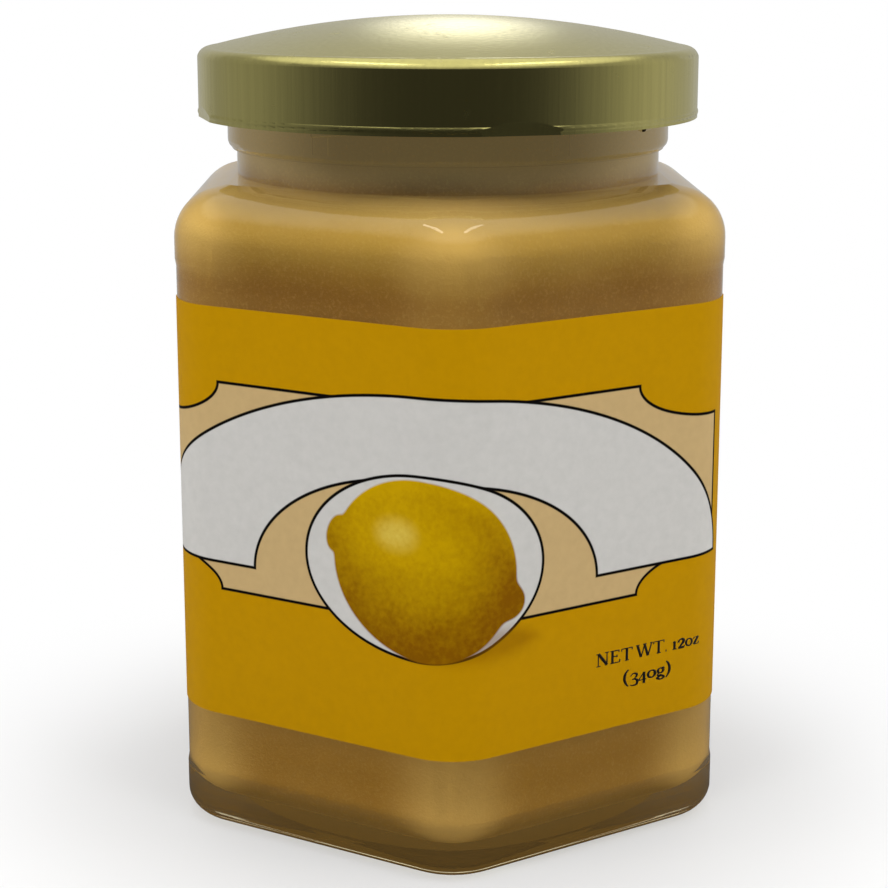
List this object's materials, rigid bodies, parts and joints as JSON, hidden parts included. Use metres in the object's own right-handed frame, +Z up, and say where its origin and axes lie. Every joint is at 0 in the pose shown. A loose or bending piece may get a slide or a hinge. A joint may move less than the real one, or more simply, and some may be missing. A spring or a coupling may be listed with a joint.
{
  "type": "honey jar",
  "caption": "Hexagonal glass jar of creamed honey with a gold twist-off metal lid and a yellow paper label.",
  "frame": {"origin": "middle of the base, on the surface the jar stands on", "axes": "+Z up through the middle of the lid; -Y towards the front corner of the hexagon, which the label is wrapped round; +X to the right of the label"},
  "size_m": [0.0678, 0.0756, 0.101],
  "materials": {
    "glass": "clear, smooth moulded flint glass",
    "honey": "opaque creamed honey, golden tan, fine grained",
    "lid_metal": "gold lacquered tinplate, finely brushed round the skirt",
    "label_paper": "printed satin paper, yellow ground with a cream and white design"
  },
  "bodies": {
    "root": {"glass_jar": "glass", "honey": "honey", "lid": "lid_metal", "label": "label_paper"}
  },
  "joints": []
}
